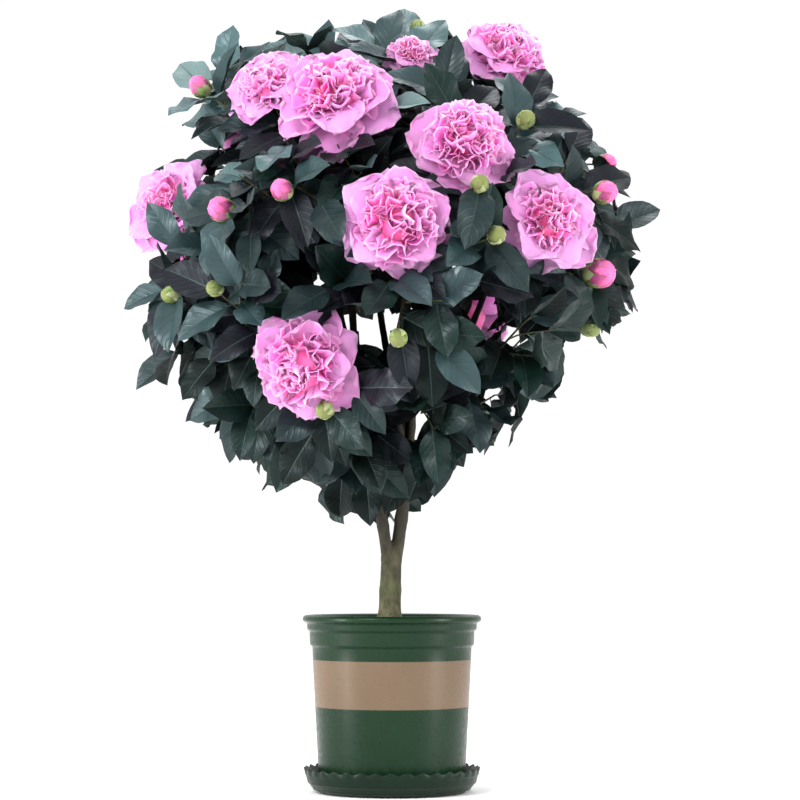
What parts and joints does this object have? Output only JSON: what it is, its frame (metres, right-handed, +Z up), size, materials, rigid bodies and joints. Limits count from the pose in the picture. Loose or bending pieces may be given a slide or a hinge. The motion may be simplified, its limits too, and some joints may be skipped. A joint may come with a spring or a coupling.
{
  "type": "potted camellia shrub",
  "caption": "Camellia grown as a small standard in a nursery pot on a saucer: short forked trunk and a round evergreen crown of glossy leaves with large pink blooms and buds.",
  "frame": {"origin": "middle of the saucer's flat underside, on the surface that the plant stands on", "axes": "+Z up along the trunk, -Y to the front as pictured, +X to the right as seen from the front"},
  "size_m": [0.6585, 0.6705, 0.9696],
  "materials": {
    "pot": "satin moulded green plastic with a tan band",
    "saucer": "satin moulded dark green plastic",
    "potting_mix": "moist peat and bark, matt",
    "bark": "thin smooth grey-olive bark, matt",
    "foliage": "leathery dark green leaf, semi-gloss",
    "petals": "soft lilac-pink petal, matt",
    "buds": "green bud scales with pink tips, satin"
  },
  "bodies": {
    "root": {"pot": "pot", "saucer": "saucer", "soil": "potting_mix", "trunk": "bark", "leader_left": "bark", "leader_right": "bark", "leader_back": "bark", "bough_front": "bark", "bough_front_right": "bark", "bough_front_left": "bark", "bough_front_left_low": "bark", "bough_front_right_low": "bark", "bough_right": "bark", "bough_right_top": "bark", "bough_right_low": "bark", "bough_right_back": "bark", "bough_back": "bark", "bough_back_top": "bark", "bough_back_low": "bark", "bough_left_back": "bark", "bough_left_low": "bark", "bough_left": "bark", "bough_top": "bark", "foliage_front": "foliage", "foliage_front_right": "foliage", "foliage_front_left": "foliage", "foliage_front_left_low": "foliage", "foliage_front_right_low": "foliage", "foliage_right": "foliage", "foliage_right_top": "foliage", "foliage_right_low": "foliage", "foliage_right_back": "foliage", "foliage_back": "foliage", "foliage_back_top": "foliage", "foliage_back_low": "foliage", "foliage_left_back": "foliage", "foliage_left_low": "foliage", "foliage_left": "foliage", "foliage_top": "foliage"}
  },
  "joints": []
}
